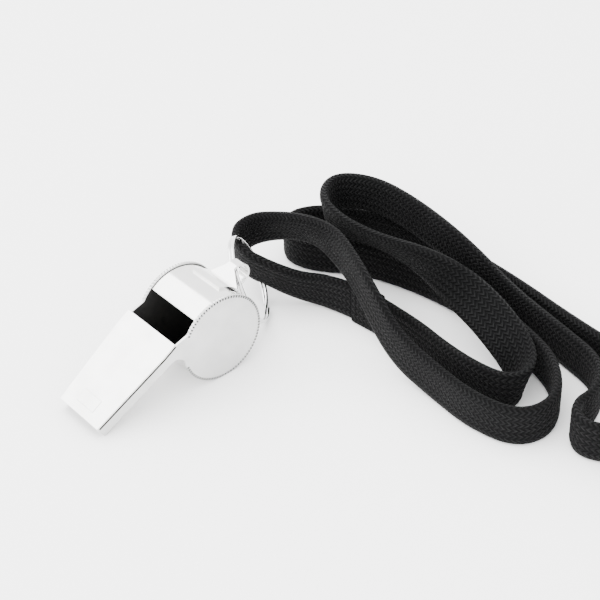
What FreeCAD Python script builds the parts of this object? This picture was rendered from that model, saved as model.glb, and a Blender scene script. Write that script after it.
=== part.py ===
import FreeCAD, Part
import math
import os
import re

import Sketcher
from FreeCAD import Placement, Rotation, Vector

# Pressed-metal pea whistle on a split ring, with a flat braided lanyard threaded through the ring.
# Millimetres.  The whistle lies on its barrel and the lower edge of its mouth, mouth towards -X.
# The origin is on the table under the middle of the metal pieces (whistle and ring), +Z up.
# The whistle's pieces are drawn in the whistle's own frame: barrel axis along Y at the origin, mouth
# towards -X, roof level.  One placement then tips the whole whistle down on to the table.

doc = FreeCAD.newDocument("pea_whistle")

# ---------------------------------------------------------------------------------------------
# Driving sizes
# ---------------------------------------------------------------------------------------------

SIZES = (
    ("disc_radius", 11.7, "side disc, outside"),
    ("rim_step", 0.35, "how far the discs stand proud of the barrel wall"),
    ("barrel_width", 19.0, "over the two side plates"),
    ("sheet", 0.7, "brass sheet of the roof, floor and barrel"),
    ("plate", 0.8, "side plates"),
    ("mouth_reach", "28 / 9 * disc_radius", "barrel axis to the mouth's edge, along the roof"),
    ("mouth_width", 15.7, "over the cheeks at the mouth"),
    ("roof_top", "disc_radius + 0.4", "top of the roof above the barrel axis"),
    ("mouthpiece_height", 3.65, "roof top to floor underside"),
    ("roof_end", "disc_radius - 2.5", "barrel axis to the roof's rear edge"),
    ("lip_setback", "0.15 * disc_radius", "barrel axis to the lip's edge"),
    ("notch_setback", "0.453 * disc_radius", "barrel axis to the dip in the side plates beside the window"),
    ("throat_radius", 2.8, "hollow curve where floor meets barrel, on the side plates"),
    ("panel_length", 3.4, "raised plain panel near the mouth"),
    ("panel_width", 6.6, "raised plain panel near the mouth"),
    ("panel_rise", 0.12, "raised plain panel near the mouth"),
    ("panel_setback", 2.4, "mouth's edge to the panel"),
    ("pea_radius", 4.4, "cork ball"),
    ("pea_gap", 0.35, "under the pea"),
    ("eye_strip", 3.0, "width of the holder's arch, along Y"),
    ("eye_shift", 1.2, "middle of the arch, towards +Y from the whistle's mid line"),
    ("foot_strip", 10.5, "width of the holder's upper foot, along Y"),
    ("eye_radius", 2.6, "inside of the arch"),
    ("eye_leg", "0.325 * disc_radius", "straight legs of the arch"),
    ("eye_sheet", 0.6, "holder strip"),
    ("upper_foot_reach", 45.0, "how far round the barrel the upper foot ends, degrees from the arch"),
    ("lower_foot_reach", 24.0, "how far round the barrel the lower foot ends, degrees from the arch"),
    ("holder_angle", -1.5, "middle of the arch above the whistle's mid line, degrees"),
    ("ring_radius", "disc_radius - 0.3", "split ring, to the middle of its wire"),
    ("ring_wire", 0.9, "split ring's wire"),
    ("ring_pitch", 0.84, "between the two turns of the split ring"),
    ("ring_gap", 0.1625, "under the split ring"),
    ("strap_width", 11.0, "lanyard braid, standing on edge"),
    ("strap_thick", 2.4, "lanyard braid"),
    ("fold_shift", "(strap_width - 11) / 2", "how much nearer the ring's middle a wider braid folds"),
    ("joint_thick", 3.6, "sewn joint of the lanyard"),
    ("table_gap", 0.15, "under the braid"),
    ("cross_gap", 0.6, "between braid and the braid riding over it"),
)

sheet = doc.addObject("Spreadsheet::Sheet", "Sizes")
for row, (alias, value, meaning) in enumerate(SIZES, start=1):
    sheet.set("A%d" % row, alias)
    # a size that follows another one is written as a formula
    sheet.set("B%d" % row, "=" + value if isinstance(value, str) else repr(value))
    sheet.set("C%d" % row, meaning)
    sheet.setAlias("B%d" % row, alias)
doc.recompute()


def size(alias):
    """One driving size, as a number."""
    return float(sheet.get(alias))


# ---------------------------------------------------------------------------------------------
# Sketches and bodies
# ---------------------------------------------------------------------------------------------


def bound(expression):
    """An expression in the sheet's words, written so that it names the sheet."""
    words = "|".join(alias for alias, _, _ in SIZES)
    return re.sub(r"\b(%s)\b" % words, r"<<Sizes>>.\1", expression)


def origin_plane(body, role):
    """One of a body's own origin planes."""
    for feature in body.Origin.OriginFeatures:
        if feature.Role == role:
            return feature
    raise RuntimeError("no plane " + role)


def outline(body, name, role, corners, arcs=(), height="0"):
    """A closed sketch on an origin plane.  corners are pairs of expressions; arcs maps the number of a
    round side to its radius and to a first guess of its middle.  A radius that starts with "centre " gives
    the arc's middle point along the sketch's first axis instead, for a half circle."""
    sketch = body.newObject("Sketcher::SketchObject", name)
    sketch.AttachmentSupport = [(origin_plane(body, role), "")]
    sketch.MapMode = "FlatFace"
    sketch.setExpression("AttachmentOffset.Base.z", bound(height))
    arcs = dict(arcs)
    places = [Vector(evaluate(x), evaluate(y), 0) for x, y in corners]
    count = len(places)
    for side in range(count):
        start = places[side]
        end = places[(side + 1) % count]
        if side in arcs:
            sketch.addGeometry(Part.Arc(start, Vector(*arcs[side][1]), end))
        else:
            sketch.addGeometry(Part.LineSegment(start, end))
    # an arc drawn clockwise is stored with its ends exchanged
    ends = []
    for side in range(count):
        first = sketch.getPoint(side, 1)
        ends.append((1, 2) if first.distanceToPoint(places[side]) < 1e-6 else (2, 1))
    for side in range(count):
        follower = (side + 1) % count
        sketch.addConstraint(
            Sketcher.Constraint("Coincident", side, ends[side][1], follower, ends[follower][0])
        )
    for side, (x, y) in enumerate(corners):
        for kind, expression in (("DistanceX", x), ("DistanceY", y)):
            number = sketch.addConstraint(
                Sketcher.Constraint(kind, -1, 1, side, ends[side][0], evaluate(expression))
            )
            sketch.setExpression("Constraints[%d]" % number, bound(expression))
    for side, (radius, _) in arcs.items():
        if radius.startswith("centre "):
            radius = radius.removeprefix("centre ")
            rule = Sketcher.Constraint("DistanceX", -1, 1, side, 3, evaluate(radius))
        else:
            rule = Sketcher.Constraint("Radius", side, evaluate(radius))
        number = sketch.addConstraint(rule)
        sketch.setExpression("Constraints[%d]" % number, bound(radius))
    return sketch


def evaluate(expression):
    """The value of an expression in the sheet's words."""
    return float(sheet.evalExpression(expression))


def pad(body, sketch, length, both_ways=False, reverse=False):
    """A pad of a sketch whose length is bound to the sheet."""
    feature = body.newObject("PartDesign::Pad", sketch.Name + "_pad")
    feature.Profile = sketch
    feature.setExpression("Length", bound(length))
    feature.Midplane = both_ways
    feature.Reversed = reverse
    sketch.Visibility = False
    doc.recompute()
    return feature


def new_body(label):
    body = doc.addObject("PartDesign::Body", label)
    body.Label = label
    return body


parts = {}

# The whistle tips about its barrel until the mouth's lower edge is on the table too.
floor_under = size("roof_top") - size("mouthpiece_height")
mouth_arm = math.hypot(size("mouth_reach"), floor_under)
pitch = math.degrees(math.asin(size("disc_radius") / mouth_arm) + math.atan2(floor_under, size("mouth_reach")))
WHISTLE = Placement(Vector(0, 0, size("disc_radius")), Rotation(Vector(0, 1, 0), -pitch))

BARREL = "disc_radius - rim_step"
FLOOR = "roof_top - mouthpiece_height"
ROOF_UNDER = "roof_top - sheet"
INNER_HALF = "barrel_width / 2 - plate"
MOUTH_INNER_HALF = "mouth_width / 2 - plate"
# the throat is an arc tangent to the floor line and to the barrel circle
THROAT_Z = "(%s - throat_radius)" % FLOOR
THROAT_REACH = "sqrt((disc_radius + throat_radius)^2 - %s^2)" % THROAT_Z


# ---------------------------------------------------------------------------------------------
# Roof of the mouthpiece
# ---------------------------------------------------------------------------------------------


def make_top_plate():
    body = new_body("top_plate")
    half_tip = "mouth_width / 2"
    half_end = "barrel_width / 2"
    plate = outline(
        body,
        "roof",
        "XY_Plane",
        (
            ("-mouth_reach", "-" + half_tip),
            ("-(%s)" % THROAT_REACH, "-" + half_end),
            ("-roof_end", "-" + half_end),
            ("-roof_end", half_end),
            ("-(%s)" % THROAT_REACH, half_end),
            ("-mouth_reach", half_tip),
        ),
        height=ROOF_UNDER,
    )
    pad(body, plate, "sheet")
    panel_far = "-mouth_reach + panel_setback + panel_length"
    panel = outline(
        body,
        "panel",
        "XY_Plane",
        (
            ("-mouth_reach + panel_setback", "-panel_width / 2"),
            (panel_far, "-panel_width / 2"),
            (panel_far, "panel_width / 2"),
            ("-mouth_reach + panel_setback", "panel_width / 2"),
        ),
        height="roof_top",
    )
    pad(body, panel, "panel_rise")
    return body


# ---------------------------------------------------------------------------------------------
# Floor of the mouthpiece and barrel wall, one bent strip
# ---------------------------------------------------------------------------------------------


def make_barrel_strip():
    body = new_body("barrel_strip")
    floor = outline(
        body,
        "floor",
        "XY_Plane",
        (
            ("-mouth_reach", "-(%s)" % MOUTH_INNER_HALF),
            ("-(%s)" % THROAT_REACH, "-(%s)" % INNER_HALF),
            ("-(%s)" % THROAT_REACH, INNER_HALF),
            ("-mouth_reach", MOUTH_INNER_HALF),
        ),
        height=FLOOR,
    )
    pad(body, floor, "sheet")

    barrel = evaluate(BARREL)
    inside = barrel - size("sheet")
    reach = evaluate(THROAT_REACH)
    centre_z = evaluate(THROAT_Z)
    # the strip's own throat radius keeps the strip tangent to the thinner barrel circle
    throat = "(throat_radius + rim_step)"
    foot = "(disc_radius + throat_radius)"
    outer_end = ("-%s * (%s) / %s" % (THROAT_REACH, BARREL, foot), "%s * (%s) / %s" % (THROAT_Z, BARREL, foot))
    inner_end = (
        "-%s * (%s - sheet) / %s" % (THROAT_REACH, BARREL, foot),
        "%s * (%s - sheet) / %s" % (THROAT_Z, BARREL, foot),
    )
    lip_outer = ("-lip_setback", "sqrt((%s)^2 - lip_setback^2)" % BARREL)
    lip_inner = ("-lip_setback", "sqrt((%s - sheet)^2 - lip_setback^2)" % BARREL)
    start = ("-(%s)" % THROAT_REACH, THROAT_Z + " + " + throat)
    start_inner = ("-(%s)" % THROAT_REACH, THROAT_Z + " + " + throat + " + sheet")
    eighth = math.sqrt(0.5)
    bow = evaluate(throat)
    mid_outer = (-reach + bow * eighth, centre_z + bow * eighth, 0)
    mid_inner = (-reach + (bow + size("sheet")) * eighth, centre_z + (bow + size("sheet")) * eighth, 0)
    wall = outline(
        body,
        "wall",
        "XZ_Plane",
        (start, outer_end, lip_outer, lip_inner, inner_end, start_inner),
        arcs=(
            (0, (throat, mid_outer)),
            (1, (BARREL, (barrel * eighth, -barrel * eighth, 0))),
            (3, (BARREL + " - sheet", (inside * eighth, -inside * eighth, 0))),
            (4, (throat + " + sheet", mid_inner)),
        ),
    )
    pad(body, wall, "2 * (%s)" % INNER_HALF, both_ways=True)
    return body


# ---------------------------------------------------------------------------------------------
# Side plates: disc, neck and cheek in one stamping
# ---------------------------------------------------------------------------------------------


def make_side_plate(label, side):
    """side is -1 for the plate towards -Y and +1 for the one towards +Y."""
    body = new_body(label)
    disc = size("disc_radius")
    reach = evaluate(THROAT_REACH)
    centre_z = evaluate(THROAT_Z)
    foot = "(disc_radius + throat_radius)"
    eighth = math.sqrt(0.5)
    throat = size("throat_radius")
    face = outline(
        body,
        "face",
        "XZ_Plane",
        (
            ("-(%s)" % THROAT_REACH, FLOOR),
            ("-%s * disc_radius / %s" % (THROAT_REACH, foot), "%s * disc_radius / %s" % (THROAT_Z, foot)),
            ("-notch_setback", "sqrt(disc_radius^2 - notch_setback^2)"),
            ("-roof_end", ROOF_UNDER),
            ("-(%s)" % THROAT_REACH, ROOF_UNDER),
        ),
        arcs=(
            (0, ("throat_radius", (-reach + throat * eighth, centre_z + throat * eighth, 0))),
            (1, ("disc_radius", (disc * eighth, -disc * eighth, 0))),
        ),
        height="%d * (%s)" % (-side, INNER_HALF),
    )
    pad(body, face, "plate", reverse=side > 0)
    y_sign = "-" if side < 0 else ""
    cheek = outline(
        body,
        "cheek",
        "XY_Plane",
        (
            ("-mouth_reach", "%s(%s)" % (y_sign, MOUTH_INNER_HALF)),
            ("-(%s)" % THROAT_REACH, "%s(%s)" % (y_sign, INNER_HALF)),
            ("-(%s)" % THROAT_REACH, "%s(barrel_width / 2)" % y_sign),
            ("-mouth_reach", "%s(mouth_width / 2)" % y_sign),
        ),
        height=FLOOR,
    )
    pad(body, cheek, "mouthpiece_height - sheet")
    return body


# ---------------------------------------------------------------------------------------------
# Ring holder on the back of the barrel
# ---------------------------------------------------------------------------------------------


def make_ring_holder():
    """An arch of strip whose two feet are bent round the barrel and soldered down."""
    body = new_body("ring_holder")
    outer = "(eye_radius + eye_sheet)"
    skin = "(%s + eye_sheet)" % BARREL
    root = "sqrt((%s)^2 - eye_radius^2)" % BARREL
    outer_root = "sqrt(%s^2 - %s^2)" % (skin, outer)
    crown = "(%s + eye_leg)" % BARREL
    arch = outline(
        body,
        "arch",
        "XZ_Plane",
        (
            (root, "-eye_radius"),
            (crown, "-eye_radius"),
            (crown, "eye_radius"),
            (root, "eye_radius"),
            (outer_root, outer),
            (crown, outer),
            (crown, "-" + outer),
            (outer_root, "-" + outer),
        ),
        arcs=(
            (1, ("centre " + crown, (evaluate(crown) + size("eye_radius"), 0, 0))),
            (5, ("centre " + crown, (evaluate(crown) + evaluate(outer), 0, 0))),
        ),
        height="-eye_shift",
    )
    pad(body, arch, "eye_strip", both_ways=True)
    # the upper leg spreads from the arch's width to the foot's width where it meets the barrel
    spread = outline(
        body,
        "spread",
        "XY_Plane",
        (
            (outer_root, "-foot_strip / 2"),
            (crown, "eye_shift - eye_strip / 2"),
            (crown, "eye_shift + eye_strip / 2"),
            (outer_root, "foot_strip / 2"),
        ),
        height="eye_radius",
    )
    pad(body, spread, "eye_sheet")
    inner = evaluate(BARREL)
    start = math.degrees(math.asin(size("eye_radius") / inner))
    feet = (
        ("upper_foot", 1, "upper_foot_reach", "foot_strip", "0"),
        ("lower_foot", -1, "lower_foot_reach", "eye_strip", "-eye_shift"),
    )
    for name, sign, reach, width, height in feet:
        middle = sign * math.radians((start + size(reach)) / 2)
        along = "%d * " % sign
        foot = outline(
            body,
            name,
            "XZ_Plane",
            (
                (root, along + "eye_radius"),
                ("(%s) * cos(%s)" % (BARREL, reach), along + "(%s) * sin(%s)" % (BARREL, reach)),
                ("%s * cos(%s)" % (skin, reach), along + "%s * sin(%s)" % (skin, reach)),
                ("sqrt(%s^2 - eye_radius^2)" % skin, along + "eye_radius"),
            ),
            arcs=(
                (0, (BARREL, (inner * math.cos(middle), inner * math.sin(middle), 0))),
                (2, (skin, (evaluate(skin) * math.cos(middle), evaluate(skin) * math.sin(middle), 0))),
            ),
            height=height,
        )
        pad(body, foot, width, both_ways=True)
    return body


# ---------------------------------------------------------------------------------------------
# Pea and split ring
# ---------------------------------------------------------------------------------------------


def make_pea():
    ball = doc.addObject("Part::Sphere", "pea")
    ball.Label = "pea"
    ball.setExpression("Radius", bound("pea_radius"))
    return ball


def make_split_ring():
    """Two turns of wire lying side by side and touching."""
    turns = []
    for number, sign in ((1, -1), (2, 1)):
        turn = doc.addObject("Part::Torus", "ring_turn_%d" % number)
        turn.setExpression("Radius1", bound("ring_radius"))
        turn.setExpression("Radius2", bound("ring_wire / 2"))
        turn.setExpression("Placement.Base.z", bound("%d * ring_pitch / 2" % sign))
        turns.append(turn)
    ring = doc.addObject("Part::MultiFuse", "split_ring")
    ring.Label = "split_ring"
    ring.Shapes = turns
    return ring


# ---------------------------------------------------------------------------------------------
# Where the ring hangs
# ---------------------------------------------------------------------------------------------

# The ring leans.  RING_NORMAL is square to its plane; RING_REACH lies in its plane, level, and points
# away from the whistle to the fold of the lanyard.
RING_NORMAL = Vector(0.705, -0.611, 0.361).normalize()
RING_REACH = Vector(0, 0, 1).cross(RING_NORMAL).normalize()
RING_RISE = RING_NORMAL.cross(RING_REACH).normalize()
# how far out along the arch's legs the wire runs, as a share of the legs
GRIP_SHARE = 0.9


def ring_half_span(axis):
    """How far the ring's outside stands from its middle along an axis."""
    lean = abs(RING_NORMAL.dot(axis))
    around = size("ring_radius") * math.sqrt(1 - lean**2) + size("ring_wire") / 2
    return around + size("ring_pitch") / 2 * lean


def ring_points():
    """The point of the wire in the middle of the holder's arch, and the middle of the ring.  The ring hangs
    on the holder and its lowest point is just above the table."""
    eye_reach = evaluate(BARREL) + size("eye_leg") * GRIP_SHARE
    eye_tilt = math.radians(pitch + size("holder_angle"))
    eye = Vector(
        eye_reach * math.cos(eye_tilt),
        size("eye_shift"),
        size("disc_radius") + eye_reach * math.sin(eye_tilt),
    )
    middle_z = size("ring_gap") + ring_half_span(Vector(0, 0, 1))
    # where round the ring the holder grips it, from RING_REACH towards RING_RISE
    grip = math.pi - math.asin((eye.z - middle_z) / (size("ring_radius") * RING_RISE.z))
    spoke = RING_REACH * math.cos(grip) + RING_RISE * math.sin(grip)
    return eye, eye - spoke * size("ring_radius")


# ---------------------------------------------------------------------------------------------
# Lanyard
# ---------------------------------------------------------------------------------------------

# The braid stands on its edge.  Each point is its place in plan, measured from the ring's far wire, and
# how far it is lifted: 0 is on the table, 1 is riding over braid that lies on the table.
ROUTE = (
    (11.2, -28.4, 0.0),
    (9.1, -20.9, 0.02),
    (4.0, -14.4, 0.17),
    (-2.2, -8.7, 0.38),
    (-6.1, -2.0, 0.46),
    (-4.4, 5.6, 0.46),
    (3.2, 7.9, 0.55),
    (10.4, 2.0, 0.75),
    (13.9, -8.4, 0.97),
    (13.7, -17.9, 1.0),
    (10.3, -28.4, 1.0),
    (6.1, -38.9, 0.93),
    (3.9, -51.4, 0.22),
    (4.1, -64.9, 0.0),
    (3.1, -78.4, 0.0),
    (6.3, -90.5, 0.0),
    (18.3, -94.1, 0.0),
    (29.3, -84.9, 0.0),
    (32.3, -68.9, 0.0),
    (33.1, -50.9, 0.0),
    (31.3, -31.9, 0.0),
    (25.8, -15.4, 0.0),
    (16.3, -4.6, 0.0),
    (14.9, 4.7, 0.0),
    (22.8, 8.9, 0.0),
    (32.8, 1.1, 0.0),
    (41.3, -17.9, 0.0),
    (43.6, -35.9, 0.0),
    (43.5, -54.9, 0.0),
    (41.9, -73.9, 0.0),
    (41.5, -93.9, 0.0),
    (43.1, -111.9, 0.0),
    (46.8, -129.9, 0.0),
    (42.3, -146.9, 0.0),
    (30.8, -151.9, 0.0),
    (21.8, -142.9, 0.0),
    (20.8, -126.9, 0.0),
    (16.8, -111.9, 0.0),
    (15.1, -100.4, 0.0),
    (18.5, -95.2, 0.0),
    (25.8, -96.5, 0.0),
    (34.8, -90.9, 0.0),
    (37.5, -73.9, 0.0),
    (38.5, -55.9, 0.16),
    (37.5, -39.9, 0.81),
    (37.8, -22.9, 1.0),
    (37.3, -7.9, 1.0),
    (30.8, 1.1, 1.0),
    (22.1, -3.4, 1.0),
    (20.9, -13.9, 1.0),
    (23.3, -26.9, 1.0),
    (25.5, -41.9, 0.98),
    (26.5, -56.9, 0.72),
    (25.5, -68.9, 0.33),
    (23.3, -77.4, 0.07),
    (18.3, -81.2, 0.0),
    (13.1, -78.5, 0.0),
    (11.5, -69.9, 0.0),
    (11.5, -60.4, 0.0),
    (12.7, -48.9, 0.0),
    (12.2, -37.4, 0.0),
)
# these points of the fold follow the height of the ring's middle
FOLD = range(2, 7)
# the lift at which braid would stand level with the ring's middle, at the sizes above
FOLD_LIFT = 0.4953
# each piece of braid runs from the middle of one run of the route to the middle of another
FIRST_END = -1
LAST_END = len(ROUTE) - 1
BRAIDS = (
    ("braid_ring_loop", FIRST_END, 9),
    ("braid_front", 9, 21),
    ("braid_outer_loop", 21, 39),
    ("braid_top_loop", 39, LAST_END),
)
# an arc between two runs takes up this share of the shorter run at each side
ARC_SHARE = 0.45


def route_points(middle):
    """The braid's centre line, as the corners of straight runs, from the ring's middle."""
    far_wire = middle + RING_REACH * (size("ring_radius") - size("fold_shift"))
    width = size("strap_width")
    rise = width + size("cross_gap")
    base = width / 2 + size("table_gap")
    fold_rise = (middle.z - base) / FOLD_LIFT
    points = []
    for at, (x, y, lift) in enumerate(ROUTE):
        step = fold_rise if at in FOLD else rise
        points.append(Vector(far_wire.x + x, far_wire.y + y, base + lift * step))
    return points


def corner(points, at):
    """Where the arc at a corner of the route starts and ends, its middle point and its radius."""
    back = points[at - 1] - points[at]
    on = points[at + 1] - points[at]
    cut = ARC_SHARE * min(back.Length, on.Length)
    half_turn = (math.pi - back.getAngle(on)) / 2
    radius = cut / math.tan(half_turn)
    inward = (back.normalize() + on.normalize()).normalize()
    centre = points[at] + inward * (radius / math.cos(half_turn))
    return points[at] + back * cut, centre - inward * radius, points[at] + on * cut, radius, half_turn


def braid_path(points, first, last):
    """Straight runs joined by tangent arcs, and their length."""
    edges = []
    here = points[0] if first == FIRST_END else (points[first] + points[first + 1]) * 0.5
    for at in range(max(first, 0) + 1, last + (last != LAST_END)):
        start, middle, end, radius, half_turn = corner(points, at)
        edges.append(Part.LineSegment(here, start).toShape())
        edges.append(Part.Arc(start, middle, end).toShape())
        print("  turn %2d: radius %5.1f mm, %5.1f degrees" % (at, radius, math.degrees(2 * half_turn)))
        here = end
    end = points[-1] if last == LAST_END else (points[last] + points[last + 1]) * 0.5
    edges.append(Part.LineSegment(here, end).toShape())
    return Part.Wire(edges)


def make_braid(label, path):
    """The braid's flat section, kept plumb, carried along its path."""
    start = path.Edges[0].Vertexes[0].Point
    ahead = path.Edges[0].Vertexes[-1].Point - start
    up = Vector(0, 0, size("strap_width") / 2)
    aside = Vector(0, 0, 1).cross(ahead).normalize() * (size("strap_thick") / 2)
    section = Part.makePolygon(
        [start + up + aside, start + up - aside, start - up - aside, start - up + aside, start + up + aside]
    )
    shell = Part.BRepOffsetAPI.MakePipeShell(path)
    shell.setBiNormalMode(Vector(0, 0, 1))
    shell.add(section)
    shell.build()
    shell.makeSolid()
    braid = doc.addObject("Part::Feature", label)
    braid.Label = label
    braid.Shape = shell.shape()
    expected = path.Length * size("strap_width") * size("strap_thick")
    print("%s: %.1f mm long, volume %.3f of section times length" % (label, path.Length, braid.Shape.Volume / expected))
    return braid


def make_joint(start, end):
    """The sewn lap that closes the lanyard, between the braid's last and first points."""
    lap = doc.addObject("Part::Box", "braid_joint")
    lap.Label = "braid_joint"
    along = end - start
    lap.Length = along.Length
    lap.setExpression("Width", bound("joint_thick"))
    lap.setExpression("Height", bound("strap_width"))
    turn = Rotation(Vector(1, 0, 0), Vector(along.x, along.y, 0))
    corner_offset = turn.multVec(Vector(0, -size("joint_thick") / 2, 0))
    foot = Vector(start.x, start.y, start.z - size("strap_width") / 2)
    lap.Placement = Placement(foot + corner_offset, turn)
    return lap


# ---------------------------------------------------------------------------------------------
# Assembly
# ---------------------------------------------------------------------------------------------

for piece in (
    make_top_plate(),
    make_barrel_strip(),
    make_side_plate("side_plate_near", -1),
    make_side_plate("side_plate_far", 1),
):
    piece.Placement = WHISTLE
    parts[piece.Label] = piece

holder = make_ring_holder()
holder.Placement = WHISTLE.multiply(Placement(Vector(), Rotation(Vector(0, 1, 0), -size("holder_angle"))))
parts["ring_holder"] = holder

# the pea has rolled to the bottom of the barrel, towards the near side
PEA_SIDE = -2.6
pea = make_pea()
pea_orbit = evaluate(BARREL + " - sheet - pea_gap - pea_radius")
pea.Placement = Placement(Vector(0, PEA_SIDE, size("disc_radius") - pea_orbit), Rotation())
parts["pea"] = pea

ring_grip, ring_middle = ring_points()
ring = make_split_ring()
ring.Placement = Placement(ring_middle, Rotation(RING_REACH, RING_RISE, RING_NORMAL, "ZXY"))
parts["split_ring"] = ring

corners = route_points(ring_middle)
total = 0
for label, first, last in BRAIDS:
    path = braid_path(corners, first, last)
    parts[label] = make_braid(label, path)
    total += path.Length
parts["braid_joint"] = make_joint(corners[-1], corners[0])
print("lanyard %.1f mm round" % (total + (corners[-1] - corners[0]).Length))

# The whole part is moved so that the origin lies under the middle of the metal pieces.
doc.recompute()

far_x = ring_middle.x + ring_half_span(Vector(1, 0, 0))
far_y = ring_middle.y + ring_half_span(Vector(0, 1, 0))
near_x = parts["top_plate"].Shape.BoundBox.XMin
near_y = -size("barrel_width") / 2
to_origin = Vector(-(near_x + far_x) / 2, -(near_y + far_y) / 2, 0)
for part in parts.values():
    place = part.Placement
    part.Placement = Placement(place.Base + to_origin, place.Rotation)
doc.recompute()
for thing in doc.Objects:
    if "Invalid" in thing.State or "Error" in thing.State:
        raise RuntimeError("%s is %s" % (thing.Label, thing.State))
for label, part in parts.items():
    if part.Shape.isNull() or not part.Shape.isValid() or len(part.Shape.Solids) != 1:
        raise RuntimeError("%s is not one sound solid" % label)

os.makedirs("parts", exist_ok=True)
for label, part in parts.items():
    part.Shape.exportStep("parts/%s.step" % label)
    box = part.Shape.BoundBox
    print(
        "%-16s %8.1f mm3  x %7.2f %7.2f  y %7.2f %7.2f  z %6.2f %6.2f"
        % (label, part.Shape.Volume, box.XMin, box.XMax, box.YMin, box.YMax, box.ZMin, box.ZMax)
    )
print("moved by", to_origin)
print("barrel axis", to_origin + Vector(0, 0, size("disc_radius")))
print("ring middle", to_origin + ring_middle)
print("holder grips the wire at", to_origin + ring_grip)
print("far wire", to_origin + ring_middle + RING_REACH * size("ring_radius"))
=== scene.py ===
import math

import bmesh
import bpy
from bpy.props import FloatProperty, FloatVectorProperty, IntProperty, PointerProperty
from mathutils import Euler, Matrix, Vector


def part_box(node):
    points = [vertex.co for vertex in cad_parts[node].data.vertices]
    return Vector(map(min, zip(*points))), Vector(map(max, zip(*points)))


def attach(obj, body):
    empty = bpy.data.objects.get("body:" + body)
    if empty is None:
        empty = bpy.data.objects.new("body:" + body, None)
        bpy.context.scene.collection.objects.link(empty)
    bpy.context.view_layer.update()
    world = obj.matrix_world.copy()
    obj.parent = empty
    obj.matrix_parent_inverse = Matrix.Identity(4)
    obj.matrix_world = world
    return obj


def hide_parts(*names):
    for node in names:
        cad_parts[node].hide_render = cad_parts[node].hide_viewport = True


bl_info = {
    "name": "Pea Whistle and Lanyard",
    "version": (1, 0, 0),
    "blender": (4, 5, 0),
    "location": "View3D > Sidebar > Whistle",
    "description": "Dresses a pressed-metal pea whistle on its braided lanyard",
    "category": "Object",
}

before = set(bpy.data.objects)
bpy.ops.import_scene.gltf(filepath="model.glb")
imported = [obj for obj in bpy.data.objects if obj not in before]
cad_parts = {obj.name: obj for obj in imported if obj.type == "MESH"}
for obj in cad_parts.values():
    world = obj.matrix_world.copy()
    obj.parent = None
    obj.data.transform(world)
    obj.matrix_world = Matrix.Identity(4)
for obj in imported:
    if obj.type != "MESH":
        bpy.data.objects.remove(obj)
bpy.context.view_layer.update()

# The lanyard's centre line: x, y, z in metres and the braid's lean from plumb in degrees.
LANYARD_ROUTE = (
    (0.0431, -0.0173, 0.0057, 0),
    (0.0410, -0.0098, 0.0059, 5),
    (0.0359, -0.0033, 0.0068, 18),
    (0.0314, 0.0023, 0.0097, 22),
    (0.0281, 0.0090, 0.0116, 14),
    (0.0306, 0.0166, 0.0126, 0),
    (0.0378, 0.0174, 0.0136, -10),
    (0.0432, 0.0115, 0.0150, -22),
    (0.0458, 0.0027, 0.0169, -20),
    (0.0456, -0.0068, 0.0173, 0),
    (0.0422, -0.0173, 0.0173, 0),
    (0.0380, -0.0278, 0.0164, 0),
    (0.0358, -0.0403, 0.0082, 0),
    (0.0360, -0.0538, 0.0057, 0),
    (0.0350, -0.0673, 0.0057, 0),
    (0.0382, -0.0794, 0.0057, 0),
    (0.0485, -0.0815, 0.0057, 0),
    (0.0590, -0.0722, 0.0057, 0),
    (0.0628, -0.0575, 0.0057, 0),
    (0.0650, -0.0398, 0.0057, 0),
    (0.0632, -0.0208, 0.0057, 0),
    (0.0577, -0.0043, 0.0057, 0),
    (0.0482, 0.0065, 0.0057, 0),
    (0.0468, 0.0158, 0.0057, 0),
    (0.0547, 0.0200, 0.0057, 0),
    (0.0647, 0.0122, 0.0057, 0),
    (0.0732, -0.0068, 0.0057, 0),
    (0.0755, -0.0248, 0.0057, 0),
    (0.0754, -0.0438, 0.0057, 0),
    (0.0738, -0.0628, 0.0057, 0),
    (0.0734, -0.0828, 0.0057, 0),
    (0.0750, -0.1008, 0.0057, 0),
    (0.0787, -0.1188, 0.0057, 0),
    (0.0742, -0.1358, 0.0057, 0),
    (0.0627, -0.1408, 0.0057, 0),
    (0.0537, -0.1318, 0.0057, 0),
    (0.0597, -0.1125, 0.0057, 0),
    (0.0527, -0.0998, 0.0057, 0),
    (0.0462, -0.0915, 0.0057, 0),
    (0.0500, -0.0850, 0.0057, 0),
    (0.0577, -0.0854, 0.0057, 0),
    (0.0667, -0.0798, 0.0057, 0),
    (0.0694, -0.0628, 0.0057, 0),
    (0.0704, -0.0448, 0.0075, 0),
    (0.0694, -0.0288, 0.0150, 0),
    (0.0697, -0.0118, 0.0173, 0),
    (0.0692, 0.0032, 0.0173, 0),
    (0.0627, 0.0122, 0.0173, 0),
    (0.0540, 0.0077, 0.0173, -8),
    (0.0528, -0.0028, 0.0173, -30),
    (0.0552, -0.0158, 0.0173, -38),
    (0.0574, -0.0308, 0.0170, -5),
    (0.0580, -0.0458, 0.0140, 55),
    (0.0570, -0.0578, 0.0098, 50),
    (0.0545, -0.0653, 0.0068, 30),
    (0.0500, -0.0696, 0.0057, 10),
    (0.0450, -0.0674, 0.0057, 0),
    (0.0434, -0.0588, 0.0057, 0),
    (0.0434, -0.0493, 0.0057, 0),
    (0.0446, -0.0378, 0.0057, 0),
    (0.0441, -0.0263, 0.0057, 0),
)
# an edge that turns by more than this is rounded
SHARP_ANGLE = math.radians(28)
# where the camera looks, how far off it stands, its angles in degrees and its lens
CAMERA_AIM = (0.029449, -0.011634, 0.010)
CAMERA_DISTANCE = 0.400628
CAMERA_AZIMUTH = -39.282
CAMERA_ELEVATION = 37.349
CAMERA_ROLL = -2.034
CAMERA_LENS = 94.71
WORLD_STRENGTH = 3.9
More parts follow.
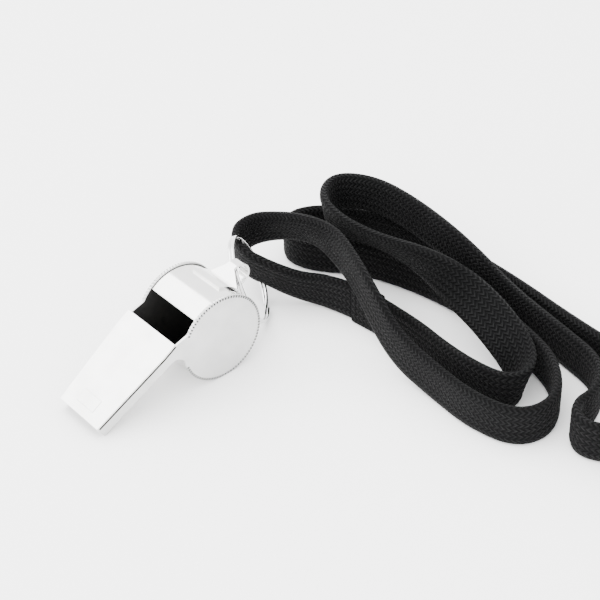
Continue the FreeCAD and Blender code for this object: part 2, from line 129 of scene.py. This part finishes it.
# name, place, width and power in watts of each light
LIGHTS = (
    ("overhead light", (-0.15, 0.35, 0.75), 0.9, 14.0),
    ("side light", (-0.7, -0.25, 0.45), 0.5, 5.0),
)
BARREL_AXIS = Vector((0.004157, -0.00274, 0.0117))
DISC_RADIUS = 0.0117
DISC_FACE = 0.0095
# the inside of the barrel, whose inward faces are given painted shade
INNER_RADIUS = 0.01075
INNER_HALF_WIDTH = 0.00875
WHISTLE_PITCH = 31.3156
# the windway between floor and roof, above the barrel's axis before the whistle is tipped
WINDWAY_LOW = 0.0091
WINDWAY_HIGH = 0.01145
WINDWAY_END = 0.009
MOUTH_REACH = 0.0364
MOUTH_HALF_WIDTH = 0.00785
ROOF_END = 0.0092
CHEEK_SPREAD_REACH = 0.01338
# the neck joins the disc between these angles, seen along +Y and counted from +X over +Z
NECK_FROM = 150.0
NECK_TO = 196.0
# a thin near-black strip of painted shade along the seam of roof and cheek
SEAM_HEIGHT = 0.0114
SEAM_WIDTH = 0.0004
SEAM_DEPTH = 0.0001
SEAM_PROUD = 0.00008
# the milled rim of each disc, and the nicks in its face, laid as near-black blocks of painted shade
RIM_DEPTH = 0.00056
RIM_SINK = 0.0004
NICK_INSET = 0.0003
NICK_SIZE = (0.0006, 0.00012, 0.00034)
# the holder's arch: its middle's reach and angle from the barrel's axis, and its two bend radii
ARCH_REACH = 0.0151525
ARCH_TILT = 29.8156
ARCH_RADII = (0.0026, 0.0032)
ARCH_CUTS = 3
ARC_FIT = 0.00001
JOINT_HALF_THICKNESS = 0.0018
JOINT_ROUND = 0.0007
# the thread that sews the joint
STITCH_STEPS = 4
STITCH_PITCH = 0.00115
STITCH_LENGTH = 0.00105
STITCH_THREAD = 0.0005
STITCH_SINK = 0.00008
STITCH_ROWS = 0.0028
RING_MIDDLE = Vector((0.024395, 0.002507, 0.011396))
RING_NORMAL = Vector((0.705, -0.611, 0.361)).normalized()


# ---------------------------------------------------------------------------------------------
# Sizes and colours
# ---------------------------------------------------------------------------------------------


class WhistleSettings(bpy.types.PropertyGroup):
    edge_round: FloatProperty(
        name="Edge round", description="Rounding of the pressed sheet's edges", default=0.00016,
        subtype="DISTANCE", unit="LENGTH",
    )
    rim_teeth: IntProperty(name="Rim teeth", description="Milled teeth round each disc", default=84)
    rim_height: FloatProperty(
        name="Rim height", description="How far the milled teeth stand out", default=0.00014,
        subtype="DISTANCE", unit="LENGTH",
    )
    nickel: FloatVectorProperty(
        name="Nickel", description="Bright plated sheet", default=(0.78, 0.775, 0.765), subtype="COLOR"
    )
    disc: FloatVectorProperty(
        name="Discs", description="Satin plated discs", default=(0.60, 0.60, 0.595), subtype="COLOR"
    )
    # cork tone darkened as painted shade, for the pea sits in the shade inside the barrel
    cork: FloatVectorProperty(
        name="Cork", description="Pea", default=(0.05, 0.035, 0.022), subtype="COLOR"
    )


class LanyardSettings(bpy.types.PropertyGroup):
    width: FloatProperty(
        name="Width", description="Flat width of the braid", default=0.011,
        subtype="DISTANCE", unit="LENGTH",
    )
    thickness: FloatProperty(
        name="Thickness", description="Thickness of the braid", default=0.0024,
        subtype="DISTANCE", unit="LENGTH",
    )
    length: FloatProperty(
        name="Length", description="Length of braid, joint left out", default=0.762,
        subtype="DISTANCE", unit="LENGTH",
    )
    rib_depth: FloatProperty(
        name="Rib depth", description="Grooves along the braid between its rows of stitches", default=0.00012,
        subtype="DISTANCE", unit="LENGTH",
    )
    stitch: FloatProperty(
        name="Stitch", description="Length of one braid stitch", default=0.0013,
        subtype="DISTANCE", unit="LENGTH",
    )
    yarn: FloatVectorProperty(
        name="Yarn", description="Black polyester", default=(0.0004, 0.0004, 0.0005), subtype="COLOR"
    )
    # the lighter colour is a painted highlight on the crowns of the stitches
    yarn_painted_highlight: FloatVectorProperty(
        name="Yarn highlights", description="Crowns of the stitches", default=(0.0095, 0.0095, 0.0098),
        subtype="COLOR",
    )


class RingSettings(bpy.types.PropertyGroup):
    radius: FloatProperty(
        name="Radius", description="To the middle of the wire", default=0.0114,
        subtype="DISTANCE", unit="LENGTH",
    )
    wire: FloatProperty(
        name="Wire", description="Diameter of the wire", default=0.0009, subtype="DISTANCE", unit="LENGTH"
    )
    pitch: FloatProperty(
        name="Pitch", description="Between the two turns", default=0.00084, subtype="DISTANCE", unit="LENGTH"
    )
    steel: FloatVectorProperty(
        name="Steel", description="Bright ring wire", default=(0.82, 0.82, 0.82), subtype="COLOR"
    )


# ---------------------------------------------------------------------------------------------
# Helpers
# ---------------------------------------------------------------------------------------------


def deselect():
    if bpy.context.mode != "OBJECT":
        bpy.ops.object.mode_set(mode="OBJECT")
    bpy.ops.object.select_all(action="DESELECT")


def pick(piece):
    deselect()
    piece.select_set(True)
    bpy.context.view_layer.objects.active = piece


def apply_place(piece):
    pick(piece)
    bpy.ops.object.transform_apply(location=True, rotation=True, scale=True)


def new_material(name):
    material = bpy.data.materials.new(name)
    material.use_nodes = True
    tree = material.node_tree
    tree.nodes.clear()
    output = tree.nodes.new("ShaderNodeOutputMaterial")
    shader = tree.nodes.new("ShaderNodeBsdfPrincipled")
    tree.links.new(shader.outputs["BSDF"], output.inputs["Surface"])
    return material, tree, shader


def noise(tree, vector, scale, detail=3.0):
    node = tree.nodes.new("ShaderNodeTexNoise")
    node.inputs["Scale"].default_value = scale
    node.inputs["Detail"].default_value = detail
    tree.links.new(vector, node.inputs["Vector"])
    return node.outputs["Fac"]


def ramp(tree, value, low, high, low_at=0.3, high_at=0.7):
    node = tree.nodes.new("ShaderNodeMapRange")
    node.inputs["From Min"].default_value = low_at
    node.inputs["From Max"].default_value = high_at
    node.inputs["To Min"].default_value = low
    node.inputs["To Max"].default_value = high
    tree.links.new(value, node.inputs["Value"])
    return node.outputs["Result"]


def mix_colour(tree, value, first, second):
    node = tree.nodes.new("ShaderNodeMix")
    node.data_type = "RGBA"
    node.inputs["A"].default_value = (*first, 1)
    node.inputs["B"].default_value = (*second, 1)
    tree.links.new(value, node.inputs["Factor"])
    return node.outputs["Result"]


def bump(tree, height, distance, strength=1.0):
    node = tree.nodes.new("ShaderNodeBump")
    node.inputs["Strength"].default_value = strength
    node.inputs["Distance"].default_value = distance
    tree.links.new(height, node.inputs["Height"])
    return node.outputs["Normal"]


def math_node(tree, operation, first, second=None):
    node = tree.nodes.new("ShaderNodeMath")
    node.operation = operation
    for socket, value in zip(node.inputs, (first, second)):
        if value is None:
            continue
        if isinstance(value, (int, float)):
            socket.default_value = value
        else:
            tree.links.new(value, socket)
    return node.outputs["Value"]


def plated_metal(name, colour, rough_low, rough_high, grain):
    """Plated sheet: soft cloudy gloss, fine rubbing marks and a faint orange-peel."""
    material, tree, shader = new_material(name)
    place = tree.nodes.new("ShaderNodeTexCoord").outputs["Object"]
    cloud = noise(tree, place, 180.0, 4.0)
    fine = noise(tree, place, grain, 2.0)
    shade = tuple(0.9 * c for c in colour)
    tree.links.new(mix_colour(tree, ramp(tree, cloud, 0, 1), colour, shade), shader.inputs["Base Color"])
    tree.links.new(ramp(tree, cloud, rough_low, rough_high), shader.inputs["Roughness"])
    tree.links.new(bump(tree, fine, 0.000004, 0.6), shader.inputs["Normal"])
    shader.inputs["Metallic"].default_value = 1.0
    return material


# cork grain over the pea's colour, which is darkened as painted shade
def cork_material(colour):
    material, tree, shader = new_material("cork ball")
    place = tree.nodes.new("ShaderNodeTexCoord").outputs["Object"]
    grain = noise(tree, place, 1400.0, 5.0)
    dark = tuple(0.4 * c for c in colour)
    tone = ramp(tree, grain, 0, 1, 0.4, 0.6)
    tree.links.new(mix_colour(tree, tone, dark, colour), shader.inputs["Base Color"])
    tree.links.new(bump(tree, grain, 0.0002), shader.inputs["Normal"])
    shader.inputs["Roughness"].default_value = 0.9
    return material


def braid_material(settings):
    """Herringbone of small stitches laid over the braid's own lengthwise rows, with a painted highlight on
    the stitch crowns and painted shade in the grooves.
    """
    material, tree, shader = new_material("woven braid")
    texture_map = tree.nodes.new("ShaderNodeUVMap")
    texture_map.uv_map = "braid"
    split = tree.nodes.new("ShaderNodeSeparateXYZ")
    tree.links.new(texture_map.outputs["UV"], split.inputs["Vector"])
    along = math_node(tree, "DIVIDE", split.outputs["X"], settings.stitch)
    row = math_node(tree, "DIVIDE", split.outputs["Y"], settings.width / 6)
    row_place = math_node(tree, "ABSOLUTE", math_node(tree, "SUBTRACT", math_node(tree, "FRACT", row), 0.5))
    chevron = math_node(tree, "ADD", along, math_node(tree, "MULTIPLY", row_place, 1.6))
    wave = math_node(tree, "SINE", math_node(tree, "MULTIPLY", chevron, 2 * math.pi))
    stitch = ramp(tree, wave, 0, 1, -0.8, 0.9)
    groove = ramp(tree, row_place, 1, 0.25, 0.1, 0.5)
    height = math_node(tree, "MULTIPLY", stitch, groove)
    place = tree.nodes.new("ShaderNodeTexCoord").outputs["Object"]
    fuzz = noise(tree, place, 2600.0, 3.0)
    patch = noise(tree, place, 60.0, 2.0)
    # colour follows the stitch relief: painted highlight on the crowns, painted shade in the grooves, with
    # random patches
    tone = math_node(tree, "MULTIPLY", height, ramp(tree, patch, 0.45, 1.0))
    tree.links.new(mix_colour(tree, tone, settings.yarn, settings.yarn_painted_highlight), shader.inputs["Base Color"])
    relief = math_node(tree, "ADD", height, math_node(tree, "MULTIPLY", fuzz, 0.5))
    tree.links.new(bump(tree, relief, 0.0004, 1.0), shader.inputs["Normal"])
    shader.inputs["Roughness"].default_value = 0.72
    shader.inputs["Specular IOR Level"].default_value = 0.06
    shader.inputs["Sheen Weight"].default_value = 0.01
    shader.inputs["Sheen Roughness"].default_value = 0.4
    return material


def copy_of_node(node, name):
    """A free copy of a CAD node's mesh, its doubles merged and its faces turned outward."""
    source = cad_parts[node]
    piece = bpy.data.objects.new(name, source.data.copy())
    bpy.context.collection.objects.link(piece)
    piece.matrix_world = source.matrix_world
    apply_place(piece)
    piece.data.materials.clear()
    bpy.ops.object.mode_set(mode="EDIT")
    bpy.ops.mesh.select_all(action="SELECT")
    bpy.ops.mesh.customdata_custom_splitnormals_clear()
    bpy.ops.mesh.remove_doubles(threshold=0.000002)
    bpy.ops.mesh.normals_make_consistent(inside=False)
    bpy.ops.mesh.dissolve_limited(angle_limit=math.radians(0.5))
    bpy.ops.object.mode_set(mode="OBJECT")
    return piece


def round_edges(piece, width, segments=2):
    """Bevels every sharp edge of a piece and shades it smooth."""
    pick(piece)
    bpy.ops.object.shade_smooth_by_angle(angle=SHARP_ANGLE)
    bevel = piece.modifiers.new("edges", "BEVEL")
    bevel.width = width
    bevel.segments = segments
    bevel.limit_method = "ANGLE"
    bevel.angle_limit = SHARP_ANGLE
    bevel.harden_normals = True
    bpy.ops.object.modifier_apply(modifier=bevel.name)


def painted_barrel_shade():
    """Painted shade: a dull near-black coat on the inside of the barrel, where shade falls."""
    material, tree, shader = new_material("painted shade of barrel")
    place = tree.nodes.new("ShaderNodeTexCoord").outputs["Object"]
    cloud = ramp(tree, noise(tree, place, 500.0), 0, 1)
    tone = mix_colour(tree, cloud, (0.006, 0.006, 0.006), (0.014, 0.013, 0.012))
    tree.links.new(tone, shader.inputs["Base Color"])
    tree.links.new(bump(tree, cloud, 0.00003), shader.inputs["Normal"])
    shader.inputs["Roughness"].default_value = 0.6
    return material


def paint_barrel_shade(piece):
    """Gives the faces that look into the barrel or the windway the painted shade."""
    piece.data.materials.append(material_named("painted shade of barrel", painted_barrel_shade))
    lean = Matrix.Rotation(math.radians(WHISTLE_PITCH), 3, "Y")
    for face in piece.data.polygons:
        spot = lean @ (face.center - BARREL_AXIS)
        normal = lean @ face.normal
        radius = math.hypot(spot.x, spot.z)
        in_barrel = radius < INNER_RADIUS and abs(spot.y) < INNER_HALF_WIDTH
        looks_in = Vector((spot.x, 0, spot.z)).normalized().dot(normal) < -0.3 or abs(normal.y) > 0.9
        to_middle = Vector((0, -spot.y, (WINDWAY_LOW + WINDWAY_HIGH) / 2 - spot.z)).normalized()
        in_height = WINDWAY_LOW <= spot.z <= WINDWAY_HIGH
        in_windway = spot.x < -WINDWAY_END and in_height and to_middle.dot(normal) > 0.4
        if (in_barrel and looks_in) or in_windway:
            face.material_index = len(piece.data.materials) - 1


def smooth_arch(piece):
    """Divides the coarse bends of the holder's arch and pushes the new points out to true arcs."""
    tilt = math.radians(ARCH_TILT)
    middle = BARREL_AXIS + Vector((math.cos(tilt), 0, math.sin(tilt))) * ARCH_REACH
    work = bmesh.new()
    work.from_mesh(piece.data)
    for radius in ARCH_RADII:

        def off_arc(vertex, radius=radius):
            return abs(math.hypot(vertex.co.x - middle.x, vertex.co.z - middle.z) - radius)

        edges = []
        for edge in work.edges:
            first, second = edge.verts
            level = abs(first.co.y - second.co.y) < ARC_FIT
            if level and max(off_arc(first), off_arc(second)) < ARC_FIT:
                edges.append(edge)
        made = bmesh.ops.subdivide_edges(work, edges=edges, cuts=ARCH_CUTS, use_grid_fill=True)
        for vertex in made["geom_inner"]:
            if isinstance(vertex, bmesh.types.BMVert):
                spoke = Vector((vertex.co.x - middle.x, 0, vertex.co.z - middle.z))
                vertex.co += spoke.normalized() * (radius - spoke.length)
    work.to_mesh(piece.data)
    work.free()


def dress_node(node, material, width):
    """A plated, edge-rounded copy of one of the whistle's nodes, with painted shade on its inside faces
    unless it is the ring holder.
    """
    piece = copy_of_node(node, node + "_shown")
    if node == "ring_holder":
        smooth_arch(piece)
    round_edges(piece, width)
    piece.data.materials.append(material)
    if node != "ring_holder":
        paint_barrel_shade(piece)
    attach(piece, "whistle")
    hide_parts(node)
    return piece


def material_named(name, make):
    return bpy.data.materials.get(name) or make()


def nickel():
    settings = bpy.context.scene.whistle_settings
    return material_named(
        "bright nickel", lambda: plated_metal("bright nickel", settings.nickel, 0.10, 0.2, 2400.0)
    )


def shade_in_seams():
    """Painted shade held in seams and nicks."""
    material, tree, shader = new_material("painted shade in seams")
    place = tree.nodes.new("ShaderNodeTexCoord").outputs["Object"]
    cloud = ramp(tree, noise(tree, place, 900.0), 0, 1)
    tone = mix_colour(tree, cloud, (0.004, 0.004, 0.004), (0.02, 0.02, 0.02))
    tree.links.new(tone, shader.inputs["Base Color"])
    shader.inputs["Roughness"].default_value = 0.9
    shader.inputs["Specular IOR Level"].default_value = 0.1
    return material


def disc_nickel():
    settings = bpy.context.scene.whistle_settings
    return material_named(
        "satin nickel", lambda: plated_metal("satin nickel", settings.disc, 0.28, 0.38, 4200.0)
    )


# ---------------------------------------------------------------------------------------------
# Stage
# ---------------------------------------------------------------------------------------------


class WHISTLE_OT_stage(bpy.types.Operator):
    """Sets up the pale floor, the soft light and the camera"""

    bl_idname = "whistle.stage"
    bl_label = "Stage and Camera"

    def execute(self, context):
        aim = Vector(CAMERA_AIM)
        deselect()
        bpy.ops.object.camera_add()
        camera = context.object
        lean = math.pi / 2 - math.radians(CAMERA_ELEVATION)
        turn = Euler((lean, 0, math.radians(CAMERA_AZIMUTH))).to_matrix()
        turn = turn @ Matrix.Rotation(math.radians(CAMERA_ROLL), 3, "Z")
        camera.rotation_euler = turn.to_euler()
        camera.location = aim + turn @ Vector((0, 0, CAMERA_DISTANCE))
        camera.data.lens = CAMERA_LENS
        camera.data.sensor_width = 36
        camera.data.clip_start = 0.01
        camera.data.dof.use_dof = False
        context.scene.camera = camera

        bpy.ops.mesh.primitive_plane_add(size=6, location=(0, 0, -0.00002))
        floor = context.object
        floor.name = "floor"
        material, tree, shader = new_material("floor")
        place = tree.nodes.new("ShaderNodeTexCoord").outputs["Object"]
        mottle = noise(tree, place, 8.0)
        colour = mix_colour(tree, mottle, (0.95, 0.95, 0.95), (0.97, 0.97, 0.97))
        tree.links.new(colour, shader.inputs["Base Color"])
        shader.inputs["Roughness"].default_value = 0.75
        shader.inputs["Specular IOR Level"].default_value = 0.2
        floor.data.materials.append(material)

        world = bpy.data.worlds.new("studio")
        world.use_nodes = True
        background = world.node_tree.nodes["Background"]
        background.inputs["Color"].default_value = (1, 1, 1, 1)
        background.inputs["Strength"].default_value = WORLD_STRENGTH
        context.scene.world = world
        for name, place, size, power in LIGHTS:
            bpy.ops.object.light_add(type="AREA", location=place)
            light = context.object
            light.name = name
            light.data.size = size
            light.data.energy = power
            light.rotation_euler = (aim - Vector(place)).to_track_quat("-Z", "Y").to_euler()
        return {"FINISHED"}


# ---------------------------------------------------------------------------------------------
# Lanyard
# ---------------------------------------------------------------------------------------------


def route_line():
    """Points and leans read from a NURBS spline through the route's control points."""
    curve = bpy.data.curves.new("lanyard line", "CURVE")
    curve.dimensions = "3D"
    curve.resolution_u = 14
    spline = curve.splines.new("NURBS")
    spline.points.add(len(LANYARD_ROUTE) - 1)
    for point, (x, y, z, lean) in zip(spline.points, LANYARD_ROUTE):
        point.co = (x, y, z, 1)
    spline.order_u = 3
    spline.use_endpoint_u = True
    holder = bpy.data.objects.new("lanyard line", curve)
    bpy.context.collection.objects.link(holder)
    line = bpy.data.meshes.new_from_object(holder)
    points = [v.co.copy() for v in line.vertices]
    bpy.data.meshes.remove(line)
    # the same spline with the leans as its heights gives a lean for every point
    for point, (x, y, z, lean) in zip(spline.points, LANYARD_ROUTE):
        point.co = (x, y, lean / 1000, 1)
    leans = bpy.data.meshes.new_from_object(holder)
    tilts = [math.radians(v.co.z * 1000) for v in leans.vertices]
    bpy.data.meshes.remove(leans)
    bpy.data.objects.remove(holder)
    return points, tilts


def braid_section(width, thickness, rib_depth):
    """Flattened tube seen end on: across, up.  Rounded edges and shallow rows on both faces."""
    rows = 6
    steps = 24
    half = width / 2 - thickness / 2
    section = []
    for face in (1, -1):
        for step in range(steps + 1):
            up = half * (2 * step / steps - 1) * face
            dip = rib_depth * abs(math.cos(math.pi * rows * step / steps)) ** 2
            section.append((face * (thickness / 2 - dip), up))
        for step in range(1, 4):
            turn = math.pi * step / 4
            high = half + thickness / 2 * math.sin(turn)
            section.append((face * thickness / 2 * math.cos(turn), face * high))
    return section


class WHISTLE_OT_lanyard(bpy.types.Operator):
    """Builds the flat braid of the lanyard along its route"""

    bl_idname = "whistle.lanyard"
    bl_label = "Lanyard"

    def execute(self, context):
        settings = context.scene.lanyard_settings
        points, tilts = route_line()
        section = braid_section(settings.width, settings.thickness, settings.rib_depth)
        mesh = bpy.data.meshes.new("lanyard")
        build = bmesh.new()
        uv = build.loops.layers.uv.new("braid")
        loops = []
        run = 0.0
        runs = []
        for at, point in enumerate(points):
            before = points[max(at - 1, 0)]
            after = points[min(at + 1, len(points) - 1)]
            run += (point - before).length
            runs.append(run)
            ahead = (after - before).normalized()
            aside = Vector((0, 0, 1)).cross(ahead).normalized()
            up = ahead.cross(aside)
            lean = Matrix.Rotation(-tilts[at], 3, ahead)
            aside = lean @ aside
            up = lean @ up
            loops.append([build.verts.new(point + aside * across + up * high) for across, high in section])
        girth = [0.0]
        for first, second in zip(section, section[1:] + section[:1]):
            girth.append(girth[-1] + math.dist(first, second))
        count = len(section)
        for at in range(len(loops) - 1):
            for side in range(count):
                nxt = (side + 1) % count
                face = build.faces.new(
                    (loops[at][side], loops[at][nxt], loops[at + 1][nxt], loops[at + 1][side])
                )
                face.smooth = True
                corners = ((at, side), (at, side + 1), (at + 1, side + 1), (at + 1, side))
                for loop, (row, column) in zip(face.loops, corners):
                    loop[uv].uv = (runs[row], girth[column])
        build.faces.new(loops[0])
        build.faces.new(loops[-1])
        bmesh.ops.recalc_face_normals(build, faces=build.faces)
        build.to_mesh(mesh)
        build.free()
        lanyard = bpy.data.objects.new("lanyard", mesh)
        context.collection.objects.link(lanyard)
        lanyard.data.materials.append(material_named("woven braid", lambda: braid_material(settings)))
        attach(lanyard, "lanyard")
        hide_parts("braid_ring_loop", "braid_front", "braid_outer_loop", "braid_top_loop")

        joint = self.sewn_joint(lanyard.data.materials[0])
        return {"FINISHED"}

    def sewn_joint(self, braid):
        """The lap that closes the lanyard: doubled braid with three rows of thread through it."""
        first = Vector(LANYARD_ROUTE[-1][:3])
        last = Vector(LANYARD_ROUTE[0][:3])
        ahead = (last - first).normalized()
        aside = Vector((0, 0, 1)).cross(ahead)
        joint = copy_of_node("braid_joint", "sewn_joint")
        low, high = (Vector(corner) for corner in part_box("braid_joint"))
        middle = (low + high) / 2
        round_edges(joint, JOINT_ROUND, 4)
        stitches = bmesh.new()
        for row in (-1, 0, 1):
            for step in range(-STITCH_STEPS, STITCH_STEPS + 1):
                for side in (-1, 1):
                    place = middle + ahead * (row * STITCH_ROWS) + Vector((0, 0, step * STITCH_PITCH))
                    place += aside * side * (JOINT_HALF_THICKNESS - STITCH_SINK)
                    turn = Matrix((ahead, aside, (0, 0, 1))).transposed().to_4x4()
                    size = Matrix.Diagonal((STITCH_THREAD, STITCH_THREAD, STITCH_LENGTH, 1))
                    bmesh.ops.create_icosphere(
                        stitches, subdivisions=2, radius=0.5, matrix=Matrix.Translation(place) @ turn @ size
                    )
        stitches.from_mesh(joint.data)
        stitches.to_mesh(joint.data)
        stitches.free()
        layer = joint.data.uv_layers.get("braid") or joint.data.uv_layers.new(name="braid")
        for loop in joint.data.loops:
            spot = joint.data.vertices[loop.vertex_index].co - middle
            layer.uv[loop.index].vector = (spot.dot(ahead) + spot.dot(aside), spot.z)
        joint.data.materials.append(braid)
        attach(joint, "lanyard")
        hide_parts("braid_joint")
        return joint


# ---------------------------------------------------------------------------------------------
# Metal pieces
# ---------------------------------------------------------------------------------------------


class WHISTLE_OT_shell(bpy.types.Operator):
    """Rounds the edges of the pressed roof, barrel strip and ring holder and plates them"""

    bl_idname = "whistle.shell"
    bl_label = "Roof, Barrel and Holder"

    def execute(self, context):
        settings = context.scene.whistle_settings
        for node in ("top_plate", "barrel_strip", "ring_holder"):
            dress_node(node, nickel(), settings.edge_round)
        return {"FINISHED"}


class WHISTLE_OT_side_plates(bpy.types.Operator):
    """Finishes the two side plates and mills their rims, with painted shade laid in their nicks and seams"""

    bl_idname = "whistle.side_plates"
    bl_label = "Side Plates"

    def execute(self, context):
        settings = context.scene.whistle_settings
        for node, side in (("side_plate_near", -1), ("side_plate_far", 1)):
            dress_node(node, disc_nickel(), settings.edge_round)
            deselect()
            bpy.ops.mesh.primitive_cylinder_add(
                vertices=2 * settings.rim_teeth,
                radius=DISC_RADIUS,
                depth=RIM_DEPTH,
                location=BARREL_AXIS + Vector((0, side * (DISC_FACE - RIM_SINK), 0)),
                rotation=(math.pi / 2, 0, 0),
            )
            rim = context.object
            rim.name = node + "_rim"
            apply_place(rim)
            for vertex in rim.data.vertices:
                spoke = Vector((vertex.co.x - BARREL_AXIS.x, 0, vertex.co.z - BARREL_AXIS.z))
                number = round(math.atan2(spoke.z, spoke.x) / math.pi * settings.rim_teeth)
                if number % 2:
                    vertex.co += spoke.normalized() * settings.rim_height
            rim.data.materials.append(disc_nickel())
            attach(rim, "whistle")
            self.paint_nick_shade(side, settings.rim_teeth)
            self.paint_seam_line_shade(side)
        return {"FINISHED"}

    def paint_nick_shade(self, side, count):
        """A row of short near-black nicks just inside the edge of a disc's face, painted shade for the
        hollows of the milling.
        """
        nicks = []
        for number in range(count):
            angle = 2 * math.pi * number / count
            # the neck of the plate has no nicks
            if NECK_FROM < math.degrees(angle) < NECK_TO:
                continue
            spoke = Vector((math.cos(angle), 0, math.sin(angle)))
            deselect()
            bpy.ops.mesh.primitive_cube_add(
                size=1,
                location=BARREL_AXIS + spoke * (DISC_RADIUS - NICK_INSET) + Vector((0, side * DISC_FACE, 0)),
                rotation=(0, -angle, 0),
                scale=NICK_SIZE,
            )
            nicks.append(bpy.context.object)
        deselect()
        for nick in nicks:
            nick.select_set(True)
        bpy.context.view_layer.objects.active = nicks[0]
        bpy.ops.object.join()
        row = bpy.context.object
        row.name = "nick_shade_near" if side < 0 else "nick_shade_far"
        apply_place(row)
        row.data.materials.append(material_named("painted shade in seams", shade_in_seams))
        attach(row, "whistle")

    def paint_seam_line_shade(self, side):
        """The dark line of painted shade where the roof's sheet meets a cheek."""
        deselect()
        bpy.ops.mesh.primitive_cube_add(size=1, location=(0, 0, 0))
        seam = bpy.context.object
        seam.name = "seam_line_shade_near" if side < 0 else "seam_line_shade_far"
        reach = (-MOUTH_REACH + 0.0004, -CHEEK_SPREAD_REACH, -ROOF_END - 0.0002)
        half_width = (MOUTH_HALF_WIDTH + 0.00003, DISC_FACE, DISC_FACE)
        bpy.ops.object.mode_set(mode="EDIT")
        bpy.ops.mesh.subdivide(number_cuts=1)
        bpy.ops.object.mode_set(mode="OBJECT")
        tip = Matrix.Rotation(math.radians(-WHISTLE_PITCH), 3, "Y")
        for vertex in seam.data.vertices:
            along = round(2 * vertex.co.x) + 1
            out = side * (half_width[along] + SEAM_PROUD + (vertex.co.y * side - 0.5) * SEAM_DEPTH)
            high = SEAM_HEIGHT + vertex.co.z * SEAM_WIDTH
            vertex.co = BARREL_AXIS + tip @ Vector((reach[along], out, high))
        apply_place(seam)
        bpy.ops.object.mode_set(mode="EDIT")
        bpy.ops.mesh.select_all(action="SELECT")
        bpy.ops.mesh.normals_make_consistent(inside=False)
        bpy.ops.object.mode_set(mode="OBJECT")
        seam.data.materials.append(material_named("painted shade in seams", shade_in_seams))
        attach(seam, "whistle")


class WHISTLE_OT_pea(bpy.types.Operator):
    """Turns the cork pea"""

    bl_idname = "whistle.pea"
    bl_label = "Pea"

    def execute(self, context):
        settings = context.scene.whistle_settings
        low, high = (Vector(corner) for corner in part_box("pea"))
        deselect()
        bpy.ops.mesh.primitive_ico_sphere_add(
            subdivisions=4, radius=(high.x - low.x) / 2, location=(low + high) / 2
        )
        pea = context.object
        pea.name = "cork_pea"
        apply_place(pea)
        bpy.ops.object.shade_smooth()
        pea.data.materials.append(material_named("cork ball", lambda: cork_material(settings.cork)))
        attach(pea, "pea")
        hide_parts("pea")
        return {"FINISHED"}


class WHISTLE_OT_split_ring(bpy.types.Operator):
    """Winds the split ring: two turns of wire that change sides in a short jog"""

    bl_idname = "whistle.split_ring"
    bl_label = "Split Ring"

    def execute(self, context):
        settings = context.scene.ring_settings
        level = Vector((0, 0, 1)).cross(RING_NORMAL).normalized()
        rise = RING_NORMAL.cross(level)
        curve = bpy.data.curves.new("split_ring", "CURVE")
        curve.dimensions = "3D"
        curve.resolution_u = 6
        curve.bevel_depth = settings.wire / 2
        curve.bevel_resolution = 4
        curve.use_fill_caps = True
        spline = curve.splines.new("POLY")
        turn_steps = 72
        jog = 5
        start = math.radians(-75)
        steps = 2 * turn_steps - 2
        spline.points.add(steps)
        for at, point in enumerate(spline.points):
            angle = start + 2 * math.pi * at / turn_steps
            through = min(max((at - turn_steps + jog) / (2 * jog), 0), 1)
            side = settings.pitch * (through * through * (3 - 2 * through) - 0.5)
            spot = RING_MIDDLE + RING_NORMAL * side
            spot += settings.radius * (level * math.cos(angle) + rise * math.sin(angle))
            point.co = (*spot, 1)
        ring = bpy.data.objects.new("split_ring_wire", curve)
        context.collection.objects.link(ring)
        pick(ring)
        bpy.ops.object.convert(target="MESH")
        ring = context.object
        bpy.ops.object.shade_smooth_by_angle(angle=math.radians(40))
        ring.data.materials.clear()
        ring.data.materials.append(
            material_named(
                "ring wire", lambda: plated_metal("ring wire", settings.steel, 0.08, 0.16, 3000.0)
            )
        )
        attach(ring, "ring")
        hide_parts("split_ring")
        return {"FINISHED"}


class WHISTLE_PT_panel(bpy.types.Panel):
    """Sizes, colours and steps of the whistle"""

    bl_label = "Pea Whistle"
    bl_idname = "WHISTLE_PT_panel"
    bl_space_type = "VIEW_3D"
    bl_region_type = "UI"
    bl_category = "Whistle"

    def draw(self, context):
        layout = self.layout
        for group in (
            context.scene.whistle_settings,
            context.scene.lanyard_settings,
            context.scene.ring_settings,
        ):
            box = layout.box()
            for name in group.__annotations__:
                box.prop(group, name)
        for step in STEPS:
            layout.operator(step.bl_idname)


GROUPS = (WhistleSettings, LanyardSettings, RingSettings)
STEPS = (
    WHISTLE_OT_stage,
    WHISTLE_OT_lanyard,
    WHISTLE_OT_shell,
    WHISTLE_OT_side_plates,
    WHISTLE_OT_pea,
    WHISTLE_OT_split_ring,
)


def register():
    for group in GROUPS + STEPS + (WHISTLE_PT_panel,):
        bpy.utils.register_class(group)
    bpy.types.Scene.whistle_settings = PointerProperty(type=WhistleSettings)
    bpy.types.Scene.lanyard_settings = PointerProperty(type=LanyardSettings)
    bpy.types.Scene.ring_settings = PointerProperty(type=RingSettings)


def unregister():
    del bpy.types.Scene.ring_settings
    del bpy.types.Scene.lanyard_settings
    del bpy.types.Scene.whistle_settings
    for group in reversed(GROUPS + STEPS + (WHISTLE_PT_panel,)):
        bpy.utils.unregister_class(group)


def main():
    register()
    bpy.ops.whistle.stage()
    bpy.ops.whistle.lanyard()
    bpy.ops.whistle.shell()
    bpy.ops.whistle.side_plates()
    bpy.ops.whistle.pea()
    bpy.ops.whistle.split_ring()


if __name__ == "__main__":
    main()
